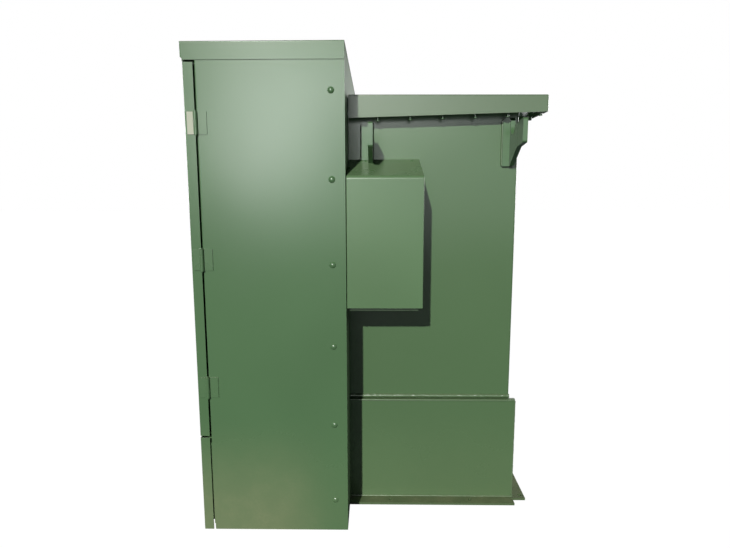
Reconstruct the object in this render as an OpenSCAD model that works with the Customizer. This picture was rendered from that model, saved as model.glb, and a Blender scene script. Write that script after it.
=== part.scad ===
// Pad-mounted transformer: an oil tank with a two-door terminal cabinet on its front.
// Front faces -Y, +Z is up, Z = 0 is the pad. X = 0 is mid-width and Y = 0 is the
// mid-plane of the terminal plate. The low-voltage side is +X. Units are millimetres.

/* [Cabinet] */
// Width of the cabinet over its side panels
cab_w = 1730; // [1600:1:1900]
// Depth of the cabinet, door face to rear edge
cab_d = 525; // [500:1:600]
// Height of the cabinet over its hood
cab_h = 1700; // [1650:1:1800]
// Height of the skirt of the hood
hood_h = 58; // [40:1:80]
// Height of the fixed front sill
sill_h = 353; // [300:1:380]
// Depth of the side flange on the doors and the sill
wrap_d = 34; // [28:1:40]
// Gap between the doors and their neighbours
door_gap = 6; // [4:1:8]
// Thickness of the cabinet sheet
sheet = 3; // [2:0.5:4]
// Number of bolts that hold each side panel
panel_bolts = 6; // [4:1:7]
// Height of the lowest panel bolt
bolt_z0 = 118; // [90:1:150]
// Height between panel bolts
bolt_pitch = 285.6; // [200:0.1:300]

/* [Tank] */
// Setback of the tank side from the cabinet side
tank_setback = 238; // [200:1:300]
// Depth of the tank behind the cabinet
tank_d = 625; // [560:1:700]
// Height of the base skirt
skirt_h = 414; // [350:1:450]
// Height of the base skirt across the rear
skirt_rear_h = 340; // [250:1:350]
// How far the base skirt stands out from the tank
skirt_out = 20; // [16:1:30]
// Width of the side anchor flanges
flange_w = 52; // [45:1:60]
// Thickness of the anchor flanges
flange_t = 9; // [6:1:12]
// Height of the cover at its front edge
cover_z = 1561; // [1500:1:1600]
// Overhang of the cover beside the tank
cover_out = 64; // [55:1:80]
// Overhang of the cover behind the tank
cover_back = 87; // [70:1:100]
// Height of the cover skirt at its front end
cover_skirt_front = 81; // [70:1:90]
// Height of the cover skirt at its rear end
cover_skirt_rear = 58; // [50:1:70]

/* [Hinges] */
// Height of a hinge
hinge_h = 73; // [60:1:90]
// Height of the lowest hinge, centre
hinge_z0 = 542; // [500:1:600]
// Height between hinges
hinge_pitch = 451; // [400:1:470]
// Radius of a hinge knuckle
knuckle_r = 7; // [6:0.5:8]
// Radius of a hinge pin
pin_r = 3.5; // [3:0.1:4]

/* [Side box] */
// Width of the side box along the tank
box_w = 260; // [240:1:280]
// Height of the underside of the side box
box_z0 = 824; // [780:1:860]
// Height of the fold at the top of its outer face
box_fold_z = 1272; // [1200:1:1300]
// Height of its sloped top at the tank wall
box_wall_z = 1338; // [1300:1:1360]

/* [Terminals] */
// Pitch of the holes in the low-voltage spades and ground pads
spade_pitch = 44.45; // [40:0.05:50]
// Radius of the holes in the low-voltage spades
spade_hole_r = 7.15; // [6:0.05:8]
// Pitch of the high-voltage bushing wells
well_pitch = 100; // [96:1:103]
// Pitch of the low-voltage bushings
lv_pitch = 130; // [125:1:140]

/* [Hidden] */
$fn = 48;
e = 0.1;

// Colours of the finishes
enamel = [0.34, 0.46, 0.34];
dark_enamel = [0.28, 0.38, 0.28];
steel = [0.62, 0.63, 0.64];
epoxy = [0.46, 0.24, 0.2];
rubber = [0.1, 0.1, 0.1];
copper = [0.72, 0.45, 0.3];

// Cabinet planes
half_w = cab_w / 2;
plate_t = 8;
rear_y = plate_t / 2;
door_y = rear_y - cab_d;
wrap_y = door_y + wrap_d;
panel_y = wrap_y + door_gap;
hood_z0 = cab_h - hood_h;
hood_front = door_y - 6;
door_z0 = sill_h + door_gap + 1;
door_z1 = hood_z0 - door_gap;
panel_top = cab_h - 10;
inner_y = -plate_t / 2;
bolt_y = rear_y - 45;
wing_t = 6;

// Tank planes
tank_x = half_w - tank_setback;
tank_y = rear_y + tank_d;
wall_t = 6;
skirt_x = tank_x + skirt_out;
skirt_y = tank_y + skirt_out + 2;
cover_x = tank_x + cover_out;
cover_y = tank_y + cover_back;
cover_y0 = rear_y + 3;
cover_len = cover_y - cover_y0;
rim_angle = atan((cover_skirt_front - cover_skirt_rear - 4) / cover_len);
rim_z = cover_z - cover_skirt_front + 12;
rim_x = cover_x - 8;
rim_y = cover_y - 8;
rim_t = 8;
rim_seam = 0.05;
rim_front = rear_y - cover_y0 + 0.3;
gasket_t = 6;
cover_t = 4;
stud_r = 6;
stud_y0 = 112;
stud_pitch = 116.4;
stud_row_x = cover_x - 22;
stud_count_side = 6;
stud_count_rear = 11;
lug_y = [86, 603];
lug_t = 16;
lug_reach = 193;
lug_z0 = 1299;
lug_z1 = 1452;
lug_lift = [0, 12];
anchor_y = [163, 479];
anchor_r = 7;
anchor_x = skirt_x + flange_w / 2;
rear_flange_w = 50;
rear_hole_x = skirt_x - 9;
rear_hole_y = skirt_y + 33;

// Hinge and latch places
hinge_x = half_w + knuckle_r;
hinge_y = (wrap_y + panel_y) / 2;
hinge_z = [for (i = [0 : 2]) hinge_z0 + i * hinge_pitch];
leaf_t = 3;
knuckle_gap = 0.5;
handle_x = 92;
handle_z = 1040;
lever_len = 96;
rod_y = -464;
lip_y = rod_y - 11;
cam_pin_r = 34;
cam_pin_a = 45;
cam_y = -477;
rod_r = 7;
stay_z = 1590;
stay_x = 640;
stay_len = 300;

// Terminal places
well_x = [for (i = [0 : 5]) -80 - well_pitch * i];
well_z = [for (i = [0 : 5]) 800 + 70 * (i % 3)];
fuse_x = [-560, -430, -300];
fuse_z = 1290;
fuse_bore_r = 20;
fuse_tube_r = 30;
lv_x = [for (i = [0 : 3]) 115 + lv_pitch * i];
lv_z = 920;
switch_pos = [-140, 1290];
tap_pos = [-140, 1150];
drain_pos = [540, 150];
relief_pos = [560, 1430];
ground_x = [-90, 90];
ground_z = 110;
box_x = half_w - 5;
box_slope = atan((box_wall_z - box_fold_z) / (box_x - tank_x));
box_screw_y = [67, 236];
box_screw_x = tank_x + 26;
box_y0 = rear_y + 2;
core_y = 190;
core_d = 150;
core_z0 = 190;
core_h = 880;
leg_x = 340;
leg_half = 75;
gauge_pos = [[136, 1170], [76, 980], [202, 980]];
gauge_r = [56, 50, 44];
gauge_x = tank_x + 62;

// ---- helpers ----
module span(a, b) translate(a) cube(b - a);
module rod_x(r, x0, x1) translate([x0, 0, 0]) rotate([0, 90, 0]) cylinder(r = r, h = x1 - x0);
module rod_y(r, y0, y1) translate([0, y0, 0]) rotate([-90, 0, 0]) cylinder(r = r, h = y1 - y0);
module both() {
    children();
    mirror([1, 0, 0]) children();
}
// Extrudes a profile drawn in (Y, Z) from x0 to x1
module along_x(x0, x1) translate([x0, 0, 0]) rotate([90, 0, 90]) linear_extrude(x1 - x0) children();
// Extrudes a profile drawn in (X, Z) from y0 to y1
module along_y(y0, y1) translate([0, y1, 0]) rotate([90, 0, 0]) linear_extrude(y1 - y0) children();
// Tilts its children to the plane of the tank rim
module on_rim() translate([0, cover_y0, rim_z]) rotate([rim_angle, 0, 0]) children();
module hex(r, h) cylinder(r = r, h = h, $fn = 6);
module dome(r, h) {
    ball = (r * r + h * h) / (2 * h);
    intersection() {
        translate([0, 0, h - ball]) sphere(ball, $fn = 64);
        cylinder(r = r + 1, h = h + 1);
    }
}
function arc(c, r, a0, a1, n) =
    [for (i = [0 : n]) [c[0] + r * cos(a0 + (a1 - a0) * i / n), c[1] + r * sin(a0 + (a1 - a0) * i / n)]];

// ---- tank ----
module tank_profile(inset) {
    top = rim_z + (tank_y - cover_y0) * tan(rim_angle) - rim_seam;
    front_top = rim_z - (cover_y0 - rear_y) * tan(rim_angle) - rim_seam;
    polygon([[rear_y, 12], [tank_y - inset, 12], [tank_y - inset, top], [rear_y, front_top]]);
}
module tank_shell() color(enamel) difference() {
    along_x(-tank_x, tank_x) tank_profile(0);
    difference() {
        along_x(-tank_x + wall_t, tank_x - wall_t) tank_profile(wall_t);
        span([-tank_x, 0, 0], [tank_x, tank_y, 12 + wall_t]);
    }
}
// Hollow side boxes, a lower hollow box across the rear, and solid corner bars between them
module base_skirt() color(enamel) difference() {
    ledge = 4;
    union() {
        both() span([tank_x, rear_y, 0], [skirt_x, skirt_y, skirt_h]);
        span([-tank_x - 1, tank_y, 0], [tank_x + 1, skirt_y, skirt_rear_h]);
    }
    both() span([tank_x - 1, rear_y - 1, -1], [skirt_x - ledge, tank_y, skirt_h - ledge]);
    span([-tank_x, tank_y - 1, -1], [tank_x, skirt_y - ledge, skirt_rear_h - ledge]);
}
module anchor_flanges() color(dark_enamel) {
    both() difference() {
        span([skirt_x, rear_y + 0.3, 0], [skirt_x + flange_w, skirt_y - 1, flange_t]);
        for (y = anchor_y) translate([anchor_x, y, -1]) cylinder(r = anchor_r, h = flange_t + 2);
    }
    difference() {
        span([-skirt_x - 15, skirt_y, 0], [skirt_x + 15, skirt_y + rear_flange_w, flange_t]);
        for (s = [-1, 1]) translate([s * rear_hole_x, rear_hole_y, -1])
            cylinder(r = anchor_r, h = flange_t + 2);
    }
}
module terminal_plate() color(enamel) {
    ground_pads();
    bored_plate();
}
module bored_plate() difference() {
    union() {
        span([-half_w + sheet + wing_t, inner_y, 0], [half_w - sheet - wing_t, rear_y, panel_top]);
        both() span([half_w - sheet - wing_t, inner_y - 66, 0], [half_w - sheet, rear_y, panel_top]);
    }
    for (i = [0 : panel_bolts - 1]) translate([-cab_w, bolt_y, bolt_z0 + i * bolt_pitch])
        rod_x(6.5, 0, 2 * cab_w);
    for (i = [0 : 5]) translate([well_x[i], 0, well_z[i]]) rod_y(32, -20, 20);
    for (x = lv_x) translate([x, 0, lv_z]) rod_y(26, -20, 20);
    for (x = fuse_x) translate([x, 0, fuse_z]) rod_y(fuse_tube_r, -20, 20);
    for (p = [switch_pos, tap_pos]) translate([p[0], 0, p[1]]) rod_y(14, -20, 20);
    translate([drain_pos[0], 0, drain_pos[1]]) rod_y(17, -20, 20);
    translate([relief_pos[0], 0, relief_pos[1]]) rod_y(10, -20, 20);
}
// A frame on the rim; inset is how far its outer edge is from the edge of the rim
module rim_frame(inset, y0, z0, z1) difference() {
    span([-rim_x + inset, y0, z0], [rim_x - inset, rim_y - inset - cover_y0, z1]);
    span([-tank_x + wall_t, 30, z0 - 1], [tank_x - wall_t, tank_y - wall_t - cover_y0, z1 + 1]);
    stud_places() translate([0, 0, z0 - 1]) cylinder(r = stud_r + 0.5, h = z1 - z0 + 2);
}
// Stud centres on the rim: down both sides and along the rear
module stud_places() {
    rear_pitch = 2 * stud_row_x / (stud_count_rear - 1);
    for (s = [-1, 1], i = [0 : stud_count_side - 1])
        translate([s * stud_row_x, stud_y0 - cover_y0 + i * stud_pitch, 0]) children();
    for (i = [1 : stud_count_rear - 2])
        translate([-stud_row_x + i * rear_pitch, cover_y - 22 - cover_y0, 0]) children();
}
module tank_rim() color(enamel) on_rim() rim_frame(0, rim_front, 0, rim_t);
module cover_gasket() color(rubber) on_rim() rim_frame(3, 0, rim_t, rim_t + gasket_t);
// Side outline of the cover in (Y, Z); lift is the depth below its top, drop is how far it runs down
module cover_profile(front, rear, lift, drop) {
    z_rear = cover_z - 4;
    polygon([[cover_y0 - front, cover_z - cover_skirt_front - drop],
        [cover_y - rear, z_rear - cover_skirt_rear - drop], [cover_y - rear, z_rear - lift],
        [cover_y0 - front, cover_z - lift]]);
}
module tank_cover() color(enamel) {
    flange_z = rim_t + gasket_t;
    difference() {
        along_x(-cover_x, cover_x) cover_profile(0, 0, 0, 0);
        along_x(-cover_x + cover_t, cover_x - cover_t) cover_profile(1, cover_t, cover_t, 1);
    }
    span([-cover_x + 1, cover_y0, rim_z + flange_z + 3], [cover_x - 1, cover_y0 + cover_t, cover_z - 1]);
    on_rim() rim_frame(-6, 1.5, flange_z, flange_z + 6);
}
module cover_studs() color(steel) on_rim() stud_places() {
    translate([0, 0, -24]) cylinder(r = stud_r, h = 24 + rim_t + gasket_t + 18);
    translate([0, 0, -10]) hex(10.5, 10);
    translate([0, 0, rim_t + gasket_t + 6]) hex(10.5, 9);
}
// Lug plate outline in (reach from the wall, Z): a horn with a round throat next to the wall
module lug_outline() {
    corner = 8;
    throat_r = 30;
    polygon(concat([[0, lug_z0 + 2], [22, lug_z0 + 2], [120, lug_z0 + 62]],
        arc([lug_reach - corner, lug_z0 + 70 + corner], corner, -90, 0, 4),
        arc([lug_reach - corner, lug_z1 - corner], corner, 0, 90, 4),
        arc([20 + throat_r, lug_z1 - 12], throat_r, 0, -180, 12), [[20, lug_z1 + 10], [10, lug_z1 + 21],
        [0, lug_z1 + 21]]));
}
// y is the place of the plate along the wall, lift is its height over the front lugs
module lug(y, lift) translate([0, 0, lift]) {
    pad_w = 25;
    pad_h = 163;
    translate([tank_x, 0, 0]) along_y(y - lug_t / 2, y + lug_t / 2) lug_outline();
    span([tank_x, y - lug_t / 2 - pad_w, lug_z0], [tank_x + 12, y - lug_t / 2, lug_z0 + pad_h]);
    translate([tank_x, y - lug_t / 2 - pad_w / 2, lug_z0 + pad_h]) rod_x(pad_w / 2, 0, 12);
}
// The front lug on the box side is cut short above the sloped top of the box
module lifting_lugs() color(enamel) {
    mirror([1, 0, 0]) for (i = [0, 1]) lug(lug_y[i], lug_lift[i]);
    lug(lug_y[1], lug_lift[1]);
    difference() {
        lug(lug_y[0], lug_lift[0]);
        translate([0, 0, 1]) along_y(box_y0, box_y0 + box_w) box_profile(0, 2);
    }
}

// ---- side box and gauges ----
// Section of the box in (X, Z): t is the depth inside its skin, open runs it past the wall
module box_profile(t, open) {
    r = 14;
    fold = [box_x - r, box_fold_z - r * tan((90 - box_slope) / 2)];
    polygon(concat([[tank_x - open, box_z0 + t], [box_x - t, box_z0 + t]],
        arc(fold, r - t, 0, 90 - box_slope, 6),
        [[tank_x - open, box_wall_z - t / cos(box_slope) + open * tan(box_slope)]]));
}
module box_screw_places() for (y = box_screw_y)
    translate([box_screw_x, y, box_wall_z - (box_screw_x - tank_x) * tan(box_slope)])
        rotate([0, box_slope, 0]) children();
module gauge_box_cover() color(enamel) difference() {
    along_y(box_y0, box_y0 + box_w) box_profile(0, 0);
    along_y(box_y0 + sheet, box_y0 + box_w - sheet) box_profile(sheet, 5);
    box_screw_places() translate([0, 0, -10]) cylinder(r = 2.6, h = 20);
}
module gauge_box_frame() color(dark_enamel) {
    lip = 22;
    difference() {
        span([tank_x, box_y0 + 5, box_z0 + 5], [tank_x + lip, box_y0 + box_w - 5, box_wall_z - 16]);
        span([tank_x - 1, box_y0 + 9, box_z0 + 9], [tank_x + lip + 1, box_y0 + box_w - 9, box_wall_z - 20]);
    }
    span([box_x - 60, box_y0 + 8, box_z0 - 12], [box_x - 20, box_y0 + box_w - 14, box_z0 - 9]);
    span([box_x - 24, box_y0 + 8, box_z0 - 12], [box_x - 20, box_y0 + box_w - 14, box_z0]);
    span([tank_x, box_y0 + 8, box_z0 - 12], [tank_x + 4, box_y0 + box_w - 14, box_z0]);
    span([tank_x, box_y0 + 118, box_z0 - 12], [box_x - 20, box_y0 + 148, box_z0 - 9]);
}
module gauge_box_screws() color(enamel) box_screw_places() {
    dome(6, 3.4);
    translate([0, 0, -7]) cylinder(r = 2.5, h = 7.5);
}
module gauge_case(i) translate([0, gauge_pos[i][0], gauge_pos[i][1]]) {
    rod_x(16, tank_x, tank_x + 26);
    difference() {
        rod_x(gauge_r[i], tank_x + 24, gauge_x + 4);
        rod_x(gauge_r[i] - 5, gauge_x - 10, gauge_x + 5);
        rod_x(2.05, tank_x + 34, gauge_x);
    }
}
module gauge_pointer(i) color("black") translate([0, gauge_pos[i][0], gauge_pos[i][1]]) {
    rod_x(2, tank_x + 36, gauge_x - 5);
    rod_x(7, gauge_x - 8, gauge_x - 4);
    span([gauge_x - 7, -2, -14], [gauge_x - 5.5, 2, gauge_r[i] - 14]);
}
module level_gauge() color(steel) gauge_case(0);
module thermometer() color(steel) gauge_case(1);
module pressure_gauge() color(steel) gauge_case(2);
module level_pointer() gauge_pointer(0);
module temperature_pointer() gauge_pointer(1);
module pressure_pointer() gauge_pointer(2);

// ---- cabinet ----
module side_panel() difference() {
    union() {
        span([half_w - sheet, panel_y, 0], [half_w, rear_y, panel_top]);
        span([half_w - 38, panel_y, 0], [half_w, panel_y + sheet, panel_top]);
        span([half_w - 34, panel_y, 0], [half_w, inner_y - 70, sheet]);
        span([half_w - 34, panel_y, panel_top - sheet], [half_w, inner_y - 70, panel_top]);
    }
    for (i = [0 : panel_bolts - 1]) translate([half_w - 10, bolt_y, bolt_z0 + i * bolt_pitch])
        rod_x(6.5, 0, 20);
    sill_bolt_places() rod_y(5.5, -6, 12);
}
module side_panel_right() color(enamel) side_panel();
module side_panel_left() color(enamel) mirror([1, 0, 0]) side_panel();
module side_panel_bolts() color(enamel) both() for (i = [0 : panel_bolts - 1])
    translate([half_w, bolt_y, bolt_z0 + i * bolt_pitch]) {
        rotate([0, 90, 0]) dome(11.5, 5.5);
        rod_x(6, -26, 0.2);
        translate([-sheet - wing_t - 9, 0, 0]) rotate([0, 90, 0]) hex(10.5, 9);
    }
// The sill is bolted to the front returns of the side panels
module sill_bolt_places() for (z = [70, 270]) translate([half_w - 23, panel_y, z]) children();
// The hood hangs on studs of the terminal plate
module hood_stud_places() for (x = [160, 460, 760]) translate([x, inner_y, cab_h - 32]) children();
module hood() color(enamel) {
    x = half_w + sheet;
    cut = 14;
    difference() {
        span([-x, hood_front, hood_z0], [x, rear_y, cab_h]);
        span([-x + sheet, hood_front + sheet, hood_z0 - 1], [x - sheet, rear_y + 1, cab_h - sheet]);
        both() translate([x, hood_front, hood_z0]) rotate([45, 0, 0]) cube([40, cut, cut], center = true);
    }
    span([-half_w + 45, hood_front, hood_z0], [half_w - 45, lip_y, hood_z0 + sheet]);
    difference() {
        span([-half_w + 60, inner_y - sheet, cab_h - 52], [half_w - 60, inner_y, cab_h - sheet]);
        both() hood_stud_places() rod_y(5.5, -10, 1);
    }
}
module sill() color(enamel) {
    span([-half_w, door_y, 0], [half_w, door_y + sheet, sill_h]);
    both() {
        span([half_w - sheet, door_y, 0], [half_w, wrap_y, sill_h]);
        span([half_w - 60, door_y, 20], [half_w - 57, panel_y, sill_h - 20]);
        difference() {
            span([half_w - 60, panel_y - sheet, 20], [half_w - sheet - 1, panel_y, sill_h - 20]);
            sill_bolt_places() rod_y(5.5, -6, 12);
        }
    }
    span([-half_w + 45, door_y, sill_h - sheet], [half_w - 45, lip_y, sill_h]);
    span([-half_w + 61, door_y, 0], [half_w - 61, wrap_y, sheet]);
}
module hood_sill_bolts() color(steel) both() {
    sill_bolt_places() {
        rod_y(5, -sheet - 6, 18);
        translate([0, -sheet, 0]) rotate([90, 0, 0]) hex(8, 6);
        translate([0, sheet, 0]) rotate([-90, 0, 0]) hex(8, 7);
    }
    hood_stud_places() {
        rod_y(5, -20, 0);
        translate([0, -sheet, 0]) rotate([90, 0, 0]) hex(8, 7);
    }
}
module compartment_barrier() color(enamel) {
    stop_y = door_y + 28;
    span([-1.5, lip_y + 2, 40], [1.5, inner_y, hood_z0 - 10]);
    span([-1.5, stop_y, sill_h + 2], [1.5, lip_y + 3, hood_z0 - 10]);
    span([-28, stop_y, sill_h + 2], [28, stop_y + sheet, hood_z0 - 2]);
    span([-1.5, inner_y - 30, 40], [26, inner_y, 43]);
}

// ---- hinges ----
// Upper and lower knuckles belong to the frame leaf, the middle one to the door leaf
module knuckle(z0, z1) difference() {
    translate([hinge_x, hinge_y, z0]) cylinder(r = knuckle_r, h = z1 - z0);
    translate([hinge_x, hinge_y, z0 - 1]) cylinder(r = pin_r + 0.05, h = z1 - z0 + 2);
}
module hinge_leaf(side, y0, y1, z) {
    third = hinge_h / 3;
    near = hinge_y + side * (knuckle_r + 0.6);
    clear = [hinge_x, hinge_y, z - hinge_h];
    span([half_w, min(y0, y1), z - hinge_h / 2], [half_w + leaf_t, max(y0, y1), z + hinge_h / 2]);
    cuts = side > 0 ? [[-hinge_h / 2, -third / 2 - knuckle_gap], [third / 2 + knuckle_gap, hinge_h / 2]]
        : [[-third / 2, third / 2]];
    for (c = cuts) {
        knuckle(z + c[0], z + c[1]);
        difference() {
            span([half_w, min(near, hinge_y), z + c[0]], [half_w + leaf_t, max(near, hinge_y), z + c[1]]);
            translate(clear) cylinder(r = pin_r + 0.05, h = 2 * hinge_h);
        }
    }
}
module frame_leaves() for (z = hinge_z) hinge_leaf(1, hinge_y + knuckle_r + 0.5, hinge_y + 36, z);
module door_leaves() for (z = hinge_z) hinge_leaf(-1, hinge_y - knuckle_r - 0.5, hinge_y - 29, z);
module frame_hinge_leaves() color(enamel) both() frame_leaves();
module lv_hinge_leaves() color(enamel) door_leaves();
module hv_hinge_leaves() color(enamel) mirror([1, 0, 0]) door_leaves();
module hinge_pins() color(enamel) both() for (z = hinge_z) translate([hinge_x, hinge_y, z]) {
    translate([0, 0, -hinge_h / 2 - 2]) cylinder(r = pin_r, h = hinge_h + 4);
    for (end = [-hinge_h / 2 - 4, hinge_h / 2 + 0.4]) translate([0, 0, end]) cylinder(r = 5, h = 3.6);
}

// ---- doors ----
module door_shell() {
    edge = 3;
    span([edge, door_y, door_z0], [half_w, door_y + sheet, door_z1]);
    span([half_w - sheet, door_y, door_z0], [half_w, wrap_y, door_z1]);
    span([edge, door_y, door_z0], [edge + sheet, door_y + 25, door_z1]);
    span([edge, door_y, door_z0], [half_w, door_y + 25, door_z0 + sheet]);
    span([edge, door_y, door_z1 - sheet], [half_w, door_y + 25, door_z1]);
}
module stay_bracket() difference() {
    for (dz = [-9, 6]) span([stay_x - 12, door_y + sheet - e, stay_z + dz],
        [stay_x + 12, door_y + 28, stay_z + dz + 3]);
    translate([stay_x, door_y + 16, stay_z - 20]) cylinder(r = 3.95, h = 40);
}
module stay_clip() for (dz = [-9, 6]) span([stay_x - stay_len + 30, door_y + sheet - e, stay_z + dz],
    [stay_x - stay_len + 50, door_y + 24, stay_z + dz + 3]);
module lv_door() color(enamel) {
    pocket = [[44, 900], [204, 1100]];
    depth = 36;
    difference() {
        union() {
            door_shell();
            span([pocket[0][0] - sheet, door_y, pocket[0][1] - sheet],
                [pocket[1][0] + sheet, door_y + depth + sheet, pocket[1][1] + sheet]);
        }
        span([pocket[0][0], door_y - 1, pocket[0][1]], [pocket[1][0], door_y + depth, pocket[1][1]]);
        translate([handle_x, 0, handle_z]) rod_y(8.05, door_y, door_y + 60);
        translate([170, 0, 930]) rod_y(6.05, door_y, door_y + 60);
    }
    difference() {
        span([handle_x - 14, door_y + 24, 899], [handle_x + 14, door_y + 29, 960]);
        translate([handle_x, 0, handle_z - lever_len]) rod_y(5.6, door_y, door_y + 60);
    }
    span([handle_x - 14, door_y + 24, 899], [handle_x + 14, door_y + depth + 1, 904]);
    for (z = [460, 780, 1240, 1560]) difference() {
        span([handle_x - 16, door_y + 1, z], [handle_x + 16, rod_y + 13, z + 4]);
        translate([handle_x, rod_y, z - 1]) cylinder(r = rod_r + 0.4, h = 6);
    }
    stay_bracket();
    stay_clip();
}
module hv_door() color(enamel) mirror([1, 0, 0]) {
    door_shell();
    stay_bracket();
    stay_clip();
    span([60, door_y + sheet - e, 500], [100, door_y + 23, 503]);
    span([60, door_y + sheet - e, 1500], [100, door_y + 23, 1503]);
    span([60, door_y + 20, 500], [100, door_y + 23, 1503]);
}
// Lever in the pocket, spindle through the door and the cam with its two pins
module door_handle() color(steel) translate([handle_x, 0, handle_z]) {
    rod_y(8, door_y + 6, cam_y + 5);
    rod_y(17, door_y + 8, door_y + 20);
    difference() {
        union() {
            span([0, door_y + 8, -11], [lever_len, door_y + 16, 11]);
            translate([lever_len, 0, 0]) rod_y(11, door_y + 8, door_y + 16);
        }
        translate([lever_len, 0, 0]) rod_y(5.6, door_y, door_y + 30);
    }
    rod_y(cam_pin_r + 9, cam_y, cam_y + 5);
    for (a = [cam_pin_a, 180 + cam_pin_a]) rotate([0, -a, 0])
        translate([cam_pin_r, 0, 0]) rod_y(4, cam_y, rod_y + 4);
}
// Slotted yoke that a cam pin moves; dir is 1 on the upper rod and -1 on the lower one
module yoke(dir) {
    slot_z = handle_z - dir * cam_pin_r * sin(cam_pin_a);
    slot_x = handle_x - dir * 30;
    bar_z = handle_z + dir * 62;
    difference() {
        union() {
            span([slot_x - 19, rod_y - 3, slot_z - 13], [slot_x + 19, rod_y + 3, slot_z + 13]);
            for (x = [slot_x - 19, slot_x + 11]) span([x, rod_y - 3, min(slot_z, bar_z)],
                [x + 8, rod_y + 3, max(slot_z, bar_z)]);
            span([min(slot_x - 19, handle_x - 12), rod_y - 3, bar_z - 8],
                [max(slot_x + 19, handle_x + 12), rod_y + 3, bar_z + 8]);
        }
        span([slot_x - 12, rod_y - 4, slot_z - 7], [slot_x + 12, rod_y + 4, slot_z + 7]);
    }
}
module latch_rod_upper() color(steel) {
    yoke(1);
    translate([handle_x, rod_y, handle_z + 60]) cylinder(r = rod_r, h = hood_z0 - 8 - handle_z - 60);
}
module latch_rod_lower() color(steel) {
    yoke(-1);
    translate([handle_x, rod_y, sill_h + 8]) cylinder(r = rod_r, h = handle_z - 60 - sill_h - 8);
}
module lock_bolt() color(steel) translate([170, 0, 930]) {
    rod_y(6, door_y + 15, door_y + 52);
    rod_y(14, door_y + 24, door_y + 27);
    translate([0, door_y + 24, 0]) rotate([90, 0, 0]) cylinder(r = 10, h = 10, $fn = 5);
}
module door_stay() {
    y = door_y + 16;
    translate([stay_x, y, stay_z - 16]) cylinder(r = 3.9, h = 32);
    translate([stay_x, y, stay_z]) rotate([0, -90, 0]) cylinder(r = 4.5, h = stay_len);
    translate([stay_x - stay_len, y, stay_z - 18]) cylinder(r = 4.5, h = 18 + 4.5);
}
module door_stay_lv() color(steel) door_stay();
module door_stay_hv() color(steel) mirror([1, 0, 0]) door_stay();

// ---- high-voltage compartment ----
module hv_bushing_wells() color(epoxy) for (i = [0 : 5]) translate([well_x[i], 0, well_z[i]]) {
    rod_y(54, inner_y - 12, inner_y);
    rod_y(31.5, inner_y - 13, 70);
    translate([0, inner_y - 12, 0]) rotate([90, 0, 0]) cylinder(r1 = 44, r2 = 38, h = 60);
}
module bushing_inserts() color(rubber) for (i = [0 : 5])
    translate([well_x[i], inner_y - 72, well_z[i]]) rotate([90, 0, 0]) {
        cylinder(r1 = 38, r2 = 36, h = 24);
        translate([0, 0, 24]) cylinder(r = 41, h = 8);
        translate([0, 0, 32]) cylinder(r1 = 27, r2 = 22, h = 96);
    }
module parking_stands() color(steel) for (i = [0, 2, 4]) translate([(well_x[i] + well_x[i + 1]) / 2, 0, 1060]) {
    span([-32, inner_y - 4, -35], [32, inner_y, 35]);
    span([-22, inner_y - 46, -30], [-18, inner_y, 30]);
    span([18, inner_y - 46, -30], [22, inner_y, 30]);
    span([-22, inner_y - 46, -30], [22, inner_y, -26]);
}
module fuse_housings() color([0.2, 0.2, 0.22]) for (x = fuse_x) translate([x, 0, fuse_z]) difference() {
    union() {
        rod_y(46, inner_y - 14, inner_y);
        rod_y(fuse_tube_r - 0.3, inner_y - 70, 275);
    }
    rod_y(fuse_bore_r, inner_y - 71, 262);
}
module fuse_holder(x) translate([x, 0, fuse_z]) {
    rod_y(fuse_bore_r - 0.6, inner_y - 72, 240);
    rod_y(34, inner_y - 92, inner_y - 71);
    rod_y(9, inner_y - 112, inner_y - 90);
    difference() {
        translate([-5, inner_y - 128, 0]) rod_x(21, 0, 10);
        translate([-6, inner_y - 128, 0]) rod_x(13, 0, 12);
    }
}
module fuse_holder_1() color([0.3, 0.3, 0.33]) fuse_holder(fuse_x[0]);
module fuse_holder_2() color([0.3, 0.3, 0.33]) fuse_holder(fuse_x[1]);
module fuse_holder_3() color([0.3, 0.3, 0.33]) fuse_holder(fuse_x[2]);
module drip_tray() color(steel) {
    x0 = fuse_x[0] - 60;
    x1 = fuse_x[2] + 60;
    span([x0, inner_y - 190, fuse_z - 86], [x1, inner_y, fuse_z - 84]);
    span([x0, inner_y - 190, fuse_z - 86], [x1, inner_y - 188, fuse_z - 66]);
    span([x0, inner_y - 190, fuse_z - 86], [x0 + 2, inner_y, fuse_z - 66]);
    span([x1 - 2, inner_y - 190, fuse_z - 86], [x1, inner_y, fuse_z - 66]);
}
// Operating shaft gland on the plate with its mechanism behind it
module operator_body(p, w, h, d) translate([p[0], 0, p[1]]) difference() {
    union() {
        rod_y(30, inner_y - 16, inner_y);
        rod_y(13.5, inner_y - 17, 30);
        span([-w / 2, 28, -h / 2], [w / 2, d, h / 2]);
    }
    rod_y(8.05, inner_y - 30, 60);
}
module switch_block() color(dark_enamel) operator_body(switch_pos, 150, 110, 150);
module tap_changer() color(dark_enamel) operator_body(tap_pos, 150, 90, 110);
module operator_handle(p, len) translate([p[0], 0, p[1]]) {
    rod_y(8, inner_y - 40, 58);
    rod_y(24, inner_y - 42, inner_y - 18);
    difference() {
        union() {
            span([-9, inner_y - 40, 0], [9, inner_y - 30, len]);
            translate([0, 0, len]) rod_y(16, inner_y - 40, inner_y - 30);
        }
        translate([0, 0, len]) rod_y(8, inner_y - 50, inner_y - 20);
    }
}
module switch_handle() color([0.75, 0.6, 0.12]) operator_handle(switch_pos, 88);
module tap_handle() color([0.7, 0.2, 0.15]) operator_handle(tap_pos, 56);

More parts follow.
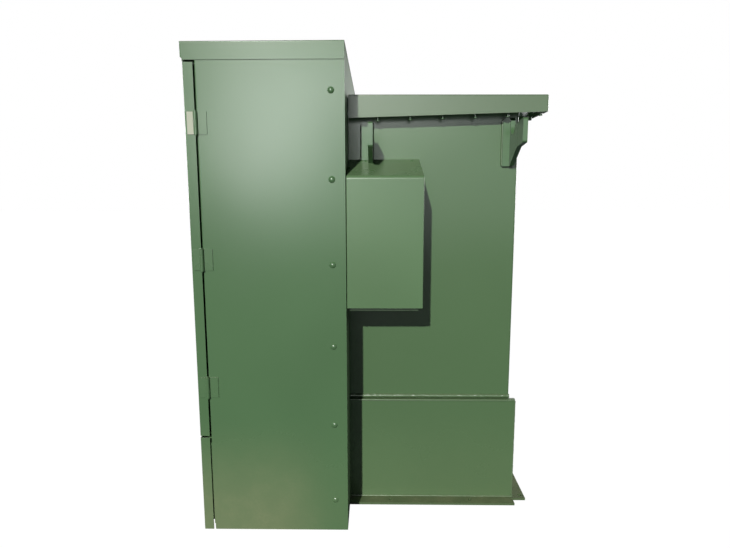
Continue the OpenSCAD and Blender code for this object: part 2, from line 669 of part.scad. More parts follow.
// ---- low-voltage compartment ----
module lv_bushings() color(epoxy) for (x = lv_x) translate([x, 0, lv_z]) {
    rod_y(58, inner_y - 14, inner_y);
    rod_y(25.5, inner_y - 15, 60);
    translate([0, inner_y - 14, 0]) rotate([90, 0, 0]) cylinder(r1 = 46, r2 = 34, h = 70);
    for (k = [0 : 2]) rod_y(50 - 3 * k, inner_y - 36 - 20 * k, inner_y - 28 - 20 * k);
}
module lv_spades() color(steel) for (x = lv_x) translate([x, 0, lv_z]) {
    rod_y(17, inner_y - 112, inner_y - 84);
    rod_y(24, inner_y - 128, inner_y - 110);
    difference() {
        span([-6, inner_y - 240, -42], [6, inner_y - 127, 42]);
        for (dy = [0, spade_pitch], dz = [-0.5, 0.5])
            translate([0, inner_y - 222 + dy, dz * spade_pitch]) rod_x(spade_hole_r, -10, 10);
    }
}
module neutral_strap() color(copper) {
    x = lv_x[0] - 6;
    w = 20;
    span([x - 3, inner_y - 170, lv_z - w], [x, inner_y - 132, lv_z + w]);
    span([x - 56, inner_y - 170, lv_z - w], [x, inner_y - 167, lv_z + w]);
    span([x - 56, inner_y - 170, lv_z - w], [x - 53, inner_y, lv_z + w]);
    span([x - 96, inner_y - 3, lv_z - w], [x - 53, inner_y, lv_z + w]);
}
module ground_pads() for (x = ground_x) translate([x, 0, ground_z]) difference() {
    span([-25, inner_y - 14, -45], [25, inner_y, 45]);
    for (dz = [-0.5, 0.5]) translate([0, 0, dz * spade_pitch]) rod_y(5.4, inner_y - 15, inner_y - 1);
}
module nameplate() color(steel) span([180, inner_y - 1.5, 1230], [410, inner_y, 1400]);
module drain_valve() color([0.7, 0.58, 0.28]) translate([drain_pos[0], 0, drain_pos[1]]) {
    difference() {
        union() {
            rod_y(16.5, inner_y - 40, 30);
            rod_y(24, inner_y - 92, inner_y - 26);
            rod_y(21, inner_y - 112, inner_y - 90);
            translate([0, inner_y - 60, 0]) cylinder(r = 12, h = 40);
            translate([-30, inner_y - 60, 0]) rod_x(6, 0, 20);
        }
        rod_y(15.2, inner_y - 113, inner_y - 88);
        rod_y(10, inner_y - 90, 31);
        translate([0, inner_y - 60, 20]) cylinder(r = 5.05, h = 30);
    }
}
module drain_lever() color([0.65, 0.16, 0.12]) translate([drain_pos[0], inner_y - 60, drain_pos[1]]) {
    translate([0, 0, 22]) cylinder(r = 5, h = 28);
    translate([0, 0, 40.5]) cylinder(r = 11, h = 6);
    span([-7, -95, 42], [7, 0, 46]);
}
module relief_valve() color([0.7, 0.58, 0.28]) translate([relief_pos[0], 0, relief_pos[1]]) difference() {
    union() {
        rod_y(9.5, inner_y - 10, 20);
        translate([0, inner_y - 6, 0]) rotate([90, 0, 0]) hex(17, 12);
        rod_y(13, inner_y - 44, inner_y - 16);
    }
    rod_y(3.05, inner_y - 45, inner_y - 20);
}

module relief_ring() color(steel) translate([relief_pos[0], 0, relief_pos[1]]) {
    rod_y(3, inner_y - 60, inner_y - 24);
    translate([0, inner_y - 72, 0]) rotate([0, 90, 0]) rotate_extrude() translate([12, 0]) circle(2);
}

// ---- inside the tank ----
module core() color([0.36, 0.37, 0.4]) difference() {
    span([-leg_x - leg_half, core_y, core_z0], [leg_x + leg_half, core_y + core_d, core_z0 + core_h]);
    for (x = [-leg_x, 0]) span([x + leg_half, core_y - 1, core_z0 + 140],
        [x + leg_x - leg_half, core_y + core_d + 1, core_z0 + core_h - 140]);
}
module windings() color(copper) for (x = [-leg_x, 0, leg_x]) difference() {
    span([x - 162, core_y - 90, core_z0 + 160], [x + 162, core_y + core_d + 90, core_z0 + core_h - 160]);
    span([x - 97, core_y - 2, core_z0], [x + 97, core_y + core_d + 2, core_z0 + core_h]);
}
module core_clamps() color(dark_enamel) for (y = [core_y - 12, core_y + core_d]) {
    for (z = [core_z0 + 10, core_z0 + core_h - 130])
        span([-leg_x - 120, y, z], [leg_x + 120, y + 12, z + 120]);
    for (x = [-leg_x, leg_x]) span([x - 40, y, 18], [x + 40, y + 12, core_z0 + 10]);
}

tank_shell();
base_skirt();
anchor_flanges();
terminal_plate();
tank_rim();
cover_gasket();
tank_cover();
cover_studs();
lifting_lugs();
gauge_box_frame();
gauge_box_cover();
gauge_box_screws();
level_gauge();
thermometer();
pressure_gauge();
level_pointer();
temperature_pointer();
pressure_pointer();
side_panel_right();
side_panel_left();
side_panel_bolts();
hood();
sill();
hood_sill_bolts();
compartment_barrier();
frame_hinge_leaves();
hinge_pins();
lv_door();
lv_hinge_leaves();
hv_door();
hv_hinge_leaves();
door_handle();
latch_rod_upper();
latch_rod_lower();
lock_bolt();
door_stay_lv();
door_stay_hv();
hv_bushing_wells();
bushing_inserts();
parking_stands();
fuse_housings();
fuse_holder_1();
fuse_holder_2();
fuse_holder_3();
drip_tray();
switch_block();
switch_handle();
tap_changer();
tap_handle();
lv_bushings();
lv_spades();
neutral_strap();
nameplate();
drain_valve();
drain_lever();
relief_valve();
relief_ring();
core();
core_clamps();
windings();
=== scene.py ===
import math

import bmesh
import bpy
from mathutils import Matrix, Vector


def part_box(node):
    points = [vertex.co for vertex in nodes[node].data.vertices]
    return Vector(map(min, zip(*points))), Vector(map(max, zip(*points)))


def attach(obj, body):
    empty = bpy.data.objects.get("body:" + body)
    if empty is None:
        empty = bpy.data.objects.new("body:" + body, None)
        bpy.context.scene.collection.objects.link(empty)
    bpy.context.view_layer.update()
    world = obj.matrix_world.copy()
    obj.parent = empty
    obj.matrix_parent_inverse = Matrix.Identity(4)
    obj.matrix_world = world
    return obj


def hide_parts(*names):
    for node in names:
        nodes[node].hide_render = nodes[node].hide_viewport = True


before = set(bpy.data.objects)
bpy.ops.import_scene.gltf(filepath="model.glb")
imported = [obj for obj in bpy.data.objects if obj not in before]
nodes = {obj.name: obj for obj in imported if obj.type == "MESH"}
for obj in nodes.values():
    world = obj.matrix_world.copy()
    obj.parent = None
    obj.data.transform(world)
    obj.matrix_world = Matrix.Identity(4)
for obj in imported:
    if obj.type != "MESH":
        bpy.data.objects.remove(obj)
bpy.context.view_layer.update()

# Planes of the object, read from the frame. Metres, front faces -Y, low-voltage side is +X.
PANEL_LO, PANEL_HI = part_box("side_panel_right")
DOOR_LO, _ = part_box("lv_door")
HOOD_LO, HOOD_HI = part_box("hood")
SILL_LO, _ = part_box("sill")
_, TANK_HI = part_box("tank_shell")
_, SKIRT_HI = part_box("base_skirt")
_, FLANGE_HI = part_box("anchor_flanges")
COVER_LO, COVER_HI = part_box("tank_cover")
BOX_LO, BOX_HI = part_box("gauge_box_cover")
HALF_W = PANEL_HI.x
REAR_Y = PANEL_HI.y
SKIRT_REAR_TOP = 0.340
# The front and rear lugs: the place of each plate along the wall and the height of its foot.
LUGS = ((0.086, 1.299), (0.603, 1.311))
EDGE = 0.0007


# ---------------------------------------------------------------- modelling tools
def only(piece):
    """Selects this piece and nothing else."""
    bpy.ops.object.select_all(action="DESELECT")
    piece.select_set(True)
    bpy.context.view_layer.objects.active = piece


def edit(piece, kind="EDGE"):
    """Opens a piece in edit mode with nothing selected."""
    only(piece)
    bpy.ops.object.mode_set(mode="EDIT")
    bpy.ops.mesh.select_mode(type=kind)
    bpy.ops.mesh.select_all(action="DESELECT")


def leave():
    bpy.ops.object.mode_set(mode="OBJECT")


def pick(piece, kind, test):
    """Selects the verts, edges or faces that pass the test, and returns how many."""
    mesh = bmesh.from_edit_mesh(piece.data)
    chosen = [item for item in getattr(mesh, kind) if test(item)]
    for item in chosen:
        item.select_set(True)
    bmesh.update_edit_mesh(piece.data)
    return len(chosen)



def mid(item):
    """The middle of an edge or a face."""
    return sum((v.co for v in item.verts), Vector()) / len(item.verts)


def near(a, b, slack=1e-4):
    return abs(a - b) < slack



def block(name, lo, hi):
    """A box primitive between two corners, ready to be shaped."""
    lo, hi = Vector(lo), Vector(hi)
    bpy.ops.object.select_all(action="DESELECT")
    bpy.ops.mesh.primitive_cube_add(size=1, location=(lo + hi) / 2, scale=hi - lo)
    piece = bpy.context.object
    piece.name = name
    bpy.ops.object.transform_apply(location=True, rotation=True, scale=True)
    return piece


def round_bar(name, start, end, radius, sides=24):
    """A cylinder primitive between two points."""
    start, end = Vector(start), Vector(end)
    along = end - start
    bpy.ops.object.select_all(action="DESELECT")
    bpy.ops.mesh.primitive_cylinder_add(
        vertices=sides, radius=radius, depth=along.length, location=(start + end) / 2,
        rotation=along.to_track_quat("Z", "Y").to_euler())
    piece = bpy.context.object
    piece.name = name
    bpy.ops.object.transform_apply(location=True, rotation=True, scale=True)
    return piece


def modify(piece, kind, **values):
    """Adds a modifier, sets it and applies it."""
    only(piece)
    m = piece.modifiers.new(kind.lower(), kind)
    for key, value in values.items():
        setattr(m, key, value)
    bpy.ops.object.modifier_apply(modifier=m.name)


def break_edges(piece, width=EDGE):
    """Takes the sharpness off every real corner."""
    modify(piece, "BEVEL", width=width, segments=2, limit_method="ANGLE",
           angle_limit=math.radians(30), use_clamp_overlap=True, profile=0.6)


def smooth(piece, angle=32):
    only(piece)
    bpy.ops.object.shade_smooth_by_angle(angle=math.radians(angle))
    modify(piece, "WEIGHTED_NORMAL", keep_sharp=True, weight=80, mode="FACE_AREA")


def fold(piece, test, radius, segments=4):
    """Rounds the edges that pass the test, as a press brake does."""
    edit(piece)
    if pick(piece, "edges", test):
        bpy.ops.mesh.bevel(offset=radius, segments=segments, affect="EDGES", profile=0.5)
    leave()





def joined(name, parts):
    """Joins several solids into one piece."""
    bpy.ops.object.select_all(action="DESELECT")
    for part in parts:
        part.select_set(True)
    bpy.context.view_layer.objects.active = parts[0]
    if len(parts) > 1:
        bpy.ops.object.join()
    parts[0].name = name
    return parts[0]



def folded_copy(node, name, folds, width=EDGE):
    """A copy of a CAD node with its flats whole, its folds rounded and its corners broken."""
    piece = bpy.data.objects.new(name, nodes[node].data.copy())
    bpy.context.scene.collection.objects.link(piece)
    piece.data.materials.clear()
    edit(piece, "VERT")
    bpy.ops.mesh.select_all(action="SELECT")
    bpy.ops.mesh.remove_doubles(threshold=2e-6)
    bpy.ops.mesh.dissolve_limited(angle_limit=math.radians(0.5))
    leave()
    for test, radius in folds:
        fold(piece, test, radius)
    break_edges(piece, width)
    return piece


def fair_copy(node, name, width=EDGE):
    """A copy of a CAD node with no folds."""
    return folded_copy(node, name, [], width)


def put(piece, body, finish, slot, *replaced, angle=32):
    """Gives a finished piece its material, its body and the CAD nodes it stands for."""
    piece.data.materials.clear()
    piece.data.materials.append(finish)
    smooth(piece, angle)
    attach(piece, body)
    if replaced:
        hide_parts(*replaced)
    return piece


# ---------------------------------------------------------------- materials
def sockets(group, inputs, outputs):
    for name, kind, value in inputs:
        s = group.interface.new_socket(name, in_out="INPUT", socket_type=kind)
        if value is not None:
            s.default_value = value
    for name, kind in outputs:
        group.interface.new_socket(name, in_out="OUTPUT", socket_type=kind)


class Tree:
    """A short way to write a node tree."""

    def __init__(self, tree):
        self.tree = tree

    def add(self, kind, **values):
        node = self.tree.nodes.new(kind)
        for key, value in values.items():
            setattr(node, key, value)
        return node

    def link(self, a, b):
        self.tree.links.new(a, b)

    def feed(self, node, **links):
        for key, value in links.items():
            socket = node.inputs[key.replace("_", " ")]
            if isinstance(value, bpy.types.NodeSocket):
                self.link(value, socket)
            else:
                socket.default_value = value
        return node

    def noise(self, vector, scale, detail=3.0, roughness=0.5):
        n = self.add("ShaderNodeTexNoise")
        self.feed(n, Vector=vector, Scale=scale, Detail=detail, Roughness=roughness)
        return n.outputs["Fac"]

    def ramp(self, value, low, high, to_low=0.0, to_high=1.0):
        n = self.add("ShaderNodeMapRange", interpolation_type="SMOOTHSTEP")
        self.feed(n, Value=value)
        n.inputs["From Min"].default_value = low
        n.inputs["From Max"].default_value = high
        n.inputs["To Min"].default_value = to_low
        n.inputs["To Max"].default_value = to_high
        return n.outputs["Result"]

    def math(self, operation, a, b):
        n = self.add("ShaderNodeMath", operation=operation)
        for socket, value in zip(n.inputs, (a, b)):
            if isinstance(value, bpy.types.NodeSocket):
                self.link(value, socket)
            else:
                socket.default_value = value
        return n.outputs[0]

    def blend(self, factor, a, b, how="MIX"):
        n = self.add("ShaderNodeMix", data_type="RGBA", blend_type=how)
        for index, value in ((0, factor), (6, a), (7, b)):
            if isinstance(value, bpy.types.NodeSocket):
                self.link(value, n.inputs[index])
            else:
                n.inputs[index].default_value = value
        return n.outputs[2]


def new_group(name, inputs, outputs):
    group = bpy.data.node_groups.new(name, "ShaderNodeTree")
    sockets(group, inputs, outputs)
    t = Tree(group)
    return group, t, t.add("NodeGroupInput").outputs, t.add("NodeGroupOutput").inputs


def paint_tone_group():
    """Sprayed enamel: cloudy tone, fine orange peel and slightly uneven gloss."""
    group, t, given, out = new_group(
        "sprayed_enamel",
        [("Vector", "NodeSocketVector", None), ("Color", "NodeSocketColor", (0.1, 0.2, 0.1, 1)),
         ("Cloud", "NodeSocketFloat", 0.1), ("Gloss", "NodeSocketFloat", 0.4)],
        [("Color", "NodeSocketColor"), ("Roughness", "NodeSocketFloat"), ("Height", "NodeSocketFloat")])
    cloud = t.noise(given["Vector"], 2.2, 1.5, 0.4)
    speck = t.noise(given["Vector"], 900.0, 1.0)
    shade = t.ramp(cloud, 0.3, 0.7, -1.0, 1.0)
    grain = t.math("MULTIPLY", t.math("SUBTRACT", speck, 0.5), 0.5)
    lift = t.math("MULTIPLY", t.math("ADD", shade, grain), given["Cloud"])
    light = t.add("ShaderNodeHueSaturation")
    t.feed(light, Color=given["Color"], Value=t.math("ADD", lift, 1.0))
    t.link(light.outputs["Color"], out["Color"])
    uneven = t.noise(given["Vector"], 5.0, 1.0)
    t.link(t.math("ADD", given["Gloss"], t.math("MULTIPLY", t.math("SUBTRACT", uneven, 0.5), 0.05)),
           out["Roughness"])
    peel = t.noise(given["Vector"], 170.0, 2.0, 0.4)
    t.link(peel, out["Height"])
    return group


def dust_and_ground_reflection_group():
    """A mask of dust on what faces up, plus a painted reflection of the sunlit ground: lighter towards the
    bottom, full at the front (-Y) and weaker towards the rear as painted shade.
    """
    group, t, given, out = new_group(
        "dust_and_painted_ground_reflection",
        [("Vector", "NodeSocketVector", None), ("Ground", "NodeSocketFloat", 0.5),
         ("Ledge", "NodeSocketFloat", 0.6)],
        [("Mask", "NodeSocketFloat")])
    split = t.add("ShaderNodeSeparateXYZ")
    t.link(given["Vector"], split.inputs[0])
    # Painted reflection of the sunlit ground: lighter towards the bottom, and weaker towards the rear, where
    # the reflected ground is painted in shade.
    low = t.ramp(split.outputs["Z"], 0.0, 0.45, 1.0, 0.0)
    reflection_side = t.ramp(split.outputs["Y"], -0.26, -0.02, 1.0, 0.2)
    face = t.add("ShaderNodeSeparateXYZ")
    t.link(t.add("ShaderNodeNewGeometry").outputs["Normal"], face.inputs[0])
    up = t.ramp(face.outputs["Z"], 0.55, 0.95)
    patch = t.ramp(t.noise(given["Vector"], 14.0, 6.0, 0.65), 0.35, 0.7)
    fine = t.ramp(t.noise(given["Vector"], 120.0, 3.0, 0.7), 0.35, 0.65)
    mottle = t.math("MULTIPLY", patch, t.math("ADD", t.math("MULTIPLY", fine, 0.6), 0.4))
    uneven = t.math("ADD", t.math("MULTIPLY", mottle, 0.3), 0.8)
    ground_reflection = t.math("MULTIPLY", t.math("MULTIPLY", low, reflection_side), uneven)
    heap = t.math("MULTIPLY", up, t.math("ADD", t.math("MULTIPLY", mottle, 0.7), 0.3))
    both = t.math("ADD", t.math("MULTIPLY", ground_reflection, given["Ground"]), t.math("MULTIPLY", heap, given["Ledge"]))
    t.link(both, out["Mask"])
    return group


def scratch_group():
    """Fine drawn lines along Z, for brushed and plated metal."""
    group, t, given, out = new_group(
        "drawn_metal",
        [("Vector", "NodeSocketVector", None), ("Amount", "NodeSocketFloat", 0.2)],
        [("Value", "NodeSocketFloat"), ("Height", "NodeSocketFloat")])
    stretch = t.add("ShaderNodeMapping")
    t.link(given["Vector"], stretch.inputs["Vector"])
    stretch.inputs["Scale"].default_value = (1.0, 1.0, 0.06)
    lines = t.noise(stretch.outputs[0], 600.0, 3.0, 0.6)
    t.link(t.math("MULTIPLY", t.math("SUBTRACT", lines, 0.5), given["Amount"]), out["Value"])
    t.link(lines, out["Height"])
    return group


PAINT, DUST_AND_REFLECTION, DRAWN = paint_tone_group(), dust_and_ground_reflection_group(), scratch_group()
# The tint of dust, also used as the tint of the painted ground reflection.
DUST_AND_REFLECTION_COLOR = (0.35, 0.335, 0.19, 1)


def material(name):
    """An empty material with its tree, its surface shader and its object coordinates."""
    made = bpy.data.materials.new(name)
    made.use_nodes = True
    tree = Tree(made.node_tree)
    shader = made.node_tree.nodes["Principled BSDF"]
    place = tree.add("ShaderNodeTexCoord").outputs["Object"]
    return made, tree, shader, place


def bump(t, shader, height, strength, distance):
    b = t.add("ShaderNodeBump")
    t.feed(b, Height=height, Strength=strength, Distance=distance)
    t.link(b.outputs["Normal"], shader.inputs["Normal"])


def enamel(name, color, gloss=0.26, cloud=0.04, ground=0.34, ledge=0.12, peel=0.06):
    """Sprayed enamel over steel, with dust where it settles and a painted reflection of the sunlit ground
    low on the front.
    """
    made, t, shader, place = material(name)
    paint = t.add("ShaderNodeGroup", node_tree=PAINT)
    t.feed(paint, Vector=place, Color=color, Cloud=cloud, Gloss=gloss)
    dust_and_reflection = t.add("ShaderNodeGroup", node_tree=DUST_AND_REFLECTION)
    t.feed(dust_and_reflection, Vector=place, Ground=ground, Ledge=ledge)
    mask = dust_and_reflection.outputs["Mask"]
    t.link(t.blend(mask, paint.outputs["Color"], DUST_AND_REFLECTION_COLOR), shader.inputs["Base Color"])
    rough = t.math("ADD", paint.outputs["Roughness"], t.math("MULTIPLY", mask, 0.4))
    t.link(rough, shader.inputs["Roughness"])
    bump(t, shader, paint.outputs["Height"], peel, 0.0004)
    shader.inputs["IOR"].default_value = 1.5
    return made


def metal(name, color, rough=0.35, lines=0.25, metallic=1.0):
    made, t, shader, place = material(name)
    drawn = t.add("ShaderNodeGroup", node_tree=DRAWN)
    t.feed(drawn, Vector=place, Amount=lines)
    tint = t.ramp(t.noise(place, 35.0, 4.0), 0.3, 0.7, 0.0, 1.0)
    dark = tuple(c * 0.72 for c in color[:3]) + (1,)
    t.link(t.blend(tint, color, dark), shader.inputs["Base Color"])
    t.link(t.math("ADD", drawn.outputs["Value"], rough), shader.inputs["Roughness"])
    bump(t, shader, drawn.outputs["Height"], 0.08, 0.0003)
    shader.inputs["Metallic"].default_value = metallic
    return made


def moulded(name, color, rough=0.35, grain=220.0, strength=0.08, vary=0.15):
    """Cast resin, rubber or moulded plastic with a fine grain."""
    made, t, shader, place = material(name)
    tone = t.ramp(t.noise(place, 18.0, 4.0), 0.3, 0.7)
    dark = tuple(c * (1 - vary) for c in color[:3]) + (1,)
    t.link(t.blend(tone, color, dark), shader.inputs["Base Color"])
    t.link(t.ramp(t.noise(place, 60.0, 3.0), 0.3, 0.7, rough - 0.05, rough + 0.08),
           shader.inputs["Roughness"])
    bump(t, shader, t.noise(place, grain, 2.0), strength, 0.0005)
    return made


GREEN = (0.080, 0.165, 0.073, 1)
green = enamel("green_enamel", GREEN)
green_tank = enamel("green_enamel_tank", (0.088, 0.166, 0.074, 1))
# The cover's enamel is a lighter, greyer copy of the tank green: a painted sheen on the cover.
green_cover = enamel("green_enamel_cover", (0.115, 0.180, 0.098, 1), gloss=0.3)
green_dusty = enamel("green_enamel_dusty", (0.075, 0.125, 0.05, 1), gloss=0.55, ground=0.1, ledge=0.3)
green_box = enamel("green_enamel_gauge_box", (0.104, 0.194, 0.090, 1))
green_inside = enamel("green_enamel_inside", (0.10, 0.17, 0.085, 1), gloss=0.5, ground=0.15)
green_hinge = enamel("green_enamel_hinge", (0.084, 0.168, 0.076, 1), gloss=0.28, cloud=0.06, ledge=0.6)
# The weld paint is lighter than the wall green: a painted highlight of the sun on the beads.
weld_paint = enamel("painted_weld", (0.11, 0.185, 0.09, 1), gloss=0.34, cloud=0.12, peel=0.3)
zinc = metal("zinc_plate", (0.62, 0.62, 0.60, 1))
tin = metal("tin_plate", (0.74, 0.74, 0.71, 1), 0.3, 0.2)
copper = metal("copper_strap", (0.74, 0.40, 0.24, 1), 0.32, 0.2)
brass = metal("valve_brass", (0.72, 0.53, 0.24, 1), 0.3, 0.15)
core_steel = metal("core_steel", (0.30, 0.31, 0.33, 1), 0.45, 0.3)
coil = moulded("coil_lacquer", (0.35, 0.20, 0.08, 1), 0.35, 90.0, 0.3)
black_paint = moulded("gauge_black", (0.03, 0.03, 0.032, 1), 0.35)
pointer_red = moulded("pointer_paint", (0.35, 0.03, 0.02, 1), 0.4)
epoxy = moulded("epoxy_resin", (0.20, 0.055, 0.035, 1), 0.25, 60.0, 0.05)
insert_rubber = moulded("insert_rubber", (0.025, 0.025, 0.028, 1), 0.5, 400.0, 0.15)
gasket_rubber = moulded("gasket_cork_rubber", (0.05, 0.04, 0.03, 1), 0.8, 500.0, 0.4)
fuse_resin = moulded("fuse_resin", (0.05, 0.05, 0.055, 1), 0.3)
grey_paint = enamel("mechanism_grey", (0.22, 0.24, 0.24, 1), ground=0, ledge=0.1)
yellow = enamel("handle_yellow", (0.62, 0.40, 0.03, 1), gloss=0.3, ground=0, ledge=0.1)
red = enamel("handle_red", (0.45, 0.03, 0.02, 1), gloss=0.3, ground=0, ledge=0.1)
# A pale, glossy copy of the hinge green for the top door leaf: a painted highlight of the sun on the leaf.
leaf_sun_highlight = enamel("green_enamel_painted_sun_highlight", (0.40, 0.43, 0.32, 1), gloss=0.5, cloud=0.12, ground=0,
                   ledge=0.2)


# ---------------------------------------------------------------- edge tests
def lies(edge, axis, value):
    """Both ends of the edge have this coordinate."""
    return all(near(v.co[axis], value, 2e-4) for v in edge.verts)


def runs(edge, axis):
    """The edge is parallel to this axis."""
    d = edge.verts[0].co - edge.verts[1].co
    return abs(d[axis]) > 0.999 * d.length


# ---------------------------------------------------------------- weld beads
def bead(name, start, end, radius=0.004, step=0.007):
    """A fillet weld between two points: a bar cut crosswise into short steps, for weld_run to roughen."""
    piece = round_bar(name, start, end, radius, 10)
    length = (Vector(end) - Vector(start)).length
    along = (Vector(end) - Vector(start)).normalized()
    edit(piece)
    pick(piece, "edges", lambda e: abs((e.verts[0].co - e.verts[1].co).dot(along)) > 0.9 * length)
    bpy.ops.mesh.subdivide(number_cuts=max(1, int(length / step)))
    leave()
    return piece


def roughen(piece, strength, size):
    """Small lumps, as a hand weld has."""
    lumps = bpy.data.textures.get("weld_lumps") or bpy.data.textures.new("weld_lumps", "CLOUDS")
    lumps.noise_scale = size
    modify(piece, "DISPLACE", texture=lumps, strength=strength, texture_coords="GLOBAL", mid_level=0.45)


def weld_run(name, pairs, radius=0.004, lump=0.003):
    run = joined(name, [bead(name, a, b, radius) for a, b in pairs])
    roughen(run, lump, 0.009)
    return put(run, "tank", weld_paint, "green_enamel", angle=60)


# ---------------------------------------------------------------- tank
def make_tank():
    x, y = TANK_HI.x, TANK_HI.y
    shell = folded_copy("tank_shell", "tank_welded_shell", [
        (lambda e: runs(e, 2) and lies(e, 1, y) and (lies(e, 0, x) or lies(e, 0, -x)), 0.007)])
    put(shell, "tank", green_tank, "green_enamel", "tank_shell")

    sx, sy, top = SKIRT_HI.x, SKIRT_HI.y, SKIRT_HI.z
    skirt = folded_copy("base_skirt", "reinforcing_skirt", [
        (lambda e: runs(e, 2) and lies(e, 1, sy) and (lies(e, 0, sx) or lies(e, 0, -sx)), 0.006),
        (lambda e: lies(e, 2, top) and (lies(e, 0, sx) or lies(e, 0, -sx))
            or lies(e, 2, SKIRT_REAR_TOP) and lies(e, 1, sy), 0.003)])
    put(skirt, "tank", green_tank, "green_enamel", "base_skirt")

    rise = 0.009
    z, rear_z = top + rise, SKIRT_REAR_TOP + rise
    weld_run("skirt_top_weld", [((s * (x + 0.001), REAR_Y + 0.002, z), (s * (x + 0.001), y, z))
                                for s in (-1, 1)]
             + [((-x, y + 0.001, rear_z), (x, y + 0.001, rear_z))], 0.0075, 0.006)
    edge_x, edge_z = sx - 0.0012, top - 0.0025
    weld_run("skirt_edge_weld", [((s * edge_x, REAR_Y + 0.004, edge_z), (s * edge_x, sy - 0.004, edge_z))
                                 for s in (-1, 1)], 0.0038, 0.002)
    corner_x, corner_y = sx * 0.9965, sy - 0.002
    weld_run("skirt_corner_weld", [((s * corner_x, corner_y, 0.012), (s * corner_x, corner_y, top - 0.006))
                                   for s in (-1, 1)], 0.0034, 0.002)

    flange = fair_copy("anchor_flanges", "anchor_flange_plates", 0.0012)
    put(flange, "tank", green_dusty, "dusty_enamel", "anchor_flanges")
    fz = FLANGE_HI.z
    weld_run("flange_weld", [((s * (sx + 0.001), REAR_Y + 0.004, fz), (s * (sx + 0.001), sy, fz))
                             for s in (-1, 1)]
             + [((-sx, sy + 0.001, fz), (sx, sy + 0.001, fz))], 0.0036, 0.0024)

    rim = fair_copy("tank_rim", "tank_rim_frame", 0.0012)
    put(rim, "tank", green, "green_enamel", "tank_rim")
    put(fair_copy("cover_gasket", "cover_gasket_frame", 0.0009), "tank", gasket_rubber,
        "gasket_rubber", "cover_gasket")

    cx, cy = COVER_HI.x, COVER_HI.y
    lid = folded_copy("tank_cover", "tank_cover_lid", [
        (lambda e: runs(e, 2) and lies(e, 1, cy) and (lies(e, 0, cx) or lies(e, 0, -cx)), 0.006),
        (lambda e: mid(e).z > COVER_HI.z - 0.0045 and (lies(e, 0, cx) or lies(e, 0, -cx) or lies(e, 1, cy)
                                                     or lies(e, 1, COVER_LO.y)), 0.005)])
    put(lid, "tank", green_cover, "green_enamel", "tank_cover")
    put(fair_copy("cover_studs", "cover_stud_bolts", 0.0006), "tank", green, "green_enamel", "cover_studs")

    lugs = fair_copy("lifting_lugs", "lifting_lug_hooks", 0.0022)
    put(lugs, "tank", green, "green_enamel", "lifting_lugs")
    pairs = []
    for wall in (-x - 0.001, x + 0.001):
        for lug_y, low in LUGS:
            pairs.append(((wall, lug_y + 0.0085, low + 0.006), (wall, lug_y + 0.0085, low + 0.17)))
            pairs.append(((wall, lug_y - 0.0335, low + 0.002), (wall, lug_y - 0.0335, low + 0.163)))
            pairs.append(((wall, lug_y - 0.031, low - 0.0005), (wall, lug_y + 0.006, low + 0.0005)))
    weld_run("lug_welds", pairs, 0.0042, 0.003)


# ---------------------------------------------------------------- gauge box
def make_gauge_box():
    y0, y1, x = BOX_LO.y, BOX_HI.y, BOX_HI.x
    cover = folded_copy("gauge_box_cover", "gauge_box_hood", [
        (lambda e: (near(mid(e).y, y0) or near(mid(e).y, y1))
            and near(e.verts[0].co.y, e.verts[1].co.y) and mid(e).x > TANK_HI.x + 0.02
            and not lies(e, 2, BOX_LO.z)
            and all(near(v.co.y, y0) or near(v.co.y, y1) for v in e.verts)
            and (lies(e, 0, x) or mid(e).z > BOX_LO.z + 0.3), 0.0028)], 0.0009)
    put(cover, "tank", green_box, "green_enamel", "gauge_box_cover")
    put(fair_copy("gauge_box_frame", "gauge_box_mounting_frame", 0.0008), "tank", green_inside,
        "green_enamel", "gauge_box_frame")
    put(fair_copy("gauge_box_screws", "gauge_box_round_screws", 0.0003), "tank", green, "green_enamel",
        "gauge_box_screws")
    for node, pointer, body, finish in (("level_gauge", "level_pointer", "level", pointer_red),
                                        ("thermometer", "temperature_pointer", "temperature", black_paint),
                                        ("pressure_gauge", "pressure_pointer", "pressure", black_paint)):
        case = fair_copy(node, node + "_case", 0.0012)
        put(case, "tank", black_paint, "gauge_case", node)
        put(fair_copy(pointer, pointer + "_needle", 0.0004), body, finish, "pointer_black", pointer)
        lo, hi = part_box(node)
        cy, cz, r = (lo.y + hi.y) / 2, (lo.z + hi.z) / 2, (hi.y - lo.y) / 2 - 0.005
        face_x = hi.x - 0.0135
        dial = round_bar(node + "_dial", (face_x, cy, cz), (face_x + 0.0012, cy, cz), r, 64)
        edit(dial, "FACE")
        pick(dial, "faces", lambda f: f.normal.x > 0.9)
        bpy.ops.mesh.inset(thickness=r * 0.78)
        bpy.ops.mesh.delete(type="FACE")
        leave()
        put(dial, "tank", dial_white, "gauge_case")
        marks = []
        for i in range(11):
            a = math.radians(-120 + 24 * i)
            m = block(node + "_mark", (face_x + 0.001, -0.0007, r * 0.78),
                      (face_x + 0.0016, 0.0007, r * 0.93))
            m.rotation_euler.x = -a
            m.location += Vector((0, cy, cz))
            only(m)
            bpy.ops.object.transform_apply(location=True, rotation=True, scale=True)
            marks.append(m)
        ticks = joined(node + "_graduations", marks)
        put(ticks, "tank", black_paint, "gauge_case")
        lens = round_bar(node + "_lens", (hi.x - 0.0022, cy, cz), (hi.x - 0.0002, cy, cz), r, 64)
        break_edges(lens, 0.0005)
        put(lens, "tank", lens_glass, "gauge_case")


